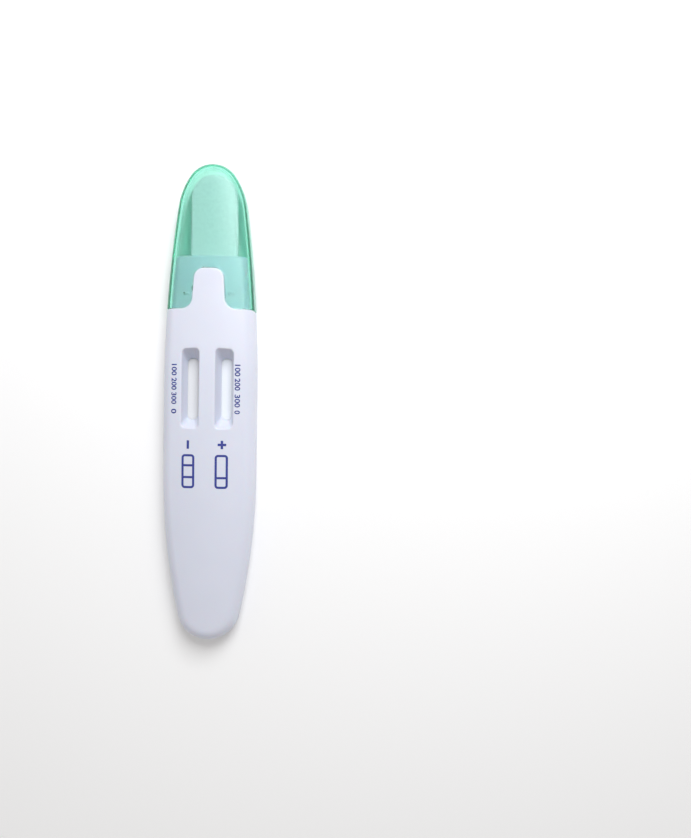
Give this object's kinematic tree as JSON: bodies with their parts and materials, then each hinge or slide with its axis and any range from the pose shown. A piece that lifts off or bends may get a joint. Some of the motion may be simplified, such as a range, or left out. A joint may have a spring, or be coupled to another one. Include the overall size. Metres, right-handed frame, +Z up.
{
  "type": "lateral flow cassette",
  "caption": "Slim round-ended test stick: white two-part housing with two sloped read windows, and a translucent mint cap over its sponge.",
  "frame": {"origin": "centre of the footprint on the table, at the height of the table", "axes": "+Y along the stick to the tip of the cap, +X to the right seen from above with the cap away, +Z up from the table to the window face"},
  "size_m": [0.0276, 0.1446, 0.0115],
  "materials": {
    "cap_plastic": "translucent, glossy",
    "housing_plastic": "satin white moulding",
    "sponge_foam": "fine open-cell foam",
    "strip_card": "smooth card",
    "pad_fibre": "fibre pad",
    "membrane": "matt membrane"
  },
  "bodies": {
    "housing": {"front_shell": "housing_plastic", "back_shell": "housing_plastic", "collection_sponge": "sponge_foam", "left_backing_card": "strip_card", "left_sample_pad": "pad_fibre", "left_conjugate_pad": "pad_fibre", "left_membrane": "membrane", "left_absorbent_pad": "pad_fibre", "right_backing_card": "strip_card", "right_sample_pad": "pad_fibre", "right_conjugate_pad": "pad_fibre", "right_membrane": "membrane", "right_absorbent_pad": "pad_fibre"},
    "cap": {"cap": "cap_plastic"}
  },
  "joints": [
    {"name": "cap_slide", "type": "slide", "parent": "housing", "child": "cap", "axis": [0, 1, 0], "range_m": [0, 0.046]}
  ]
}
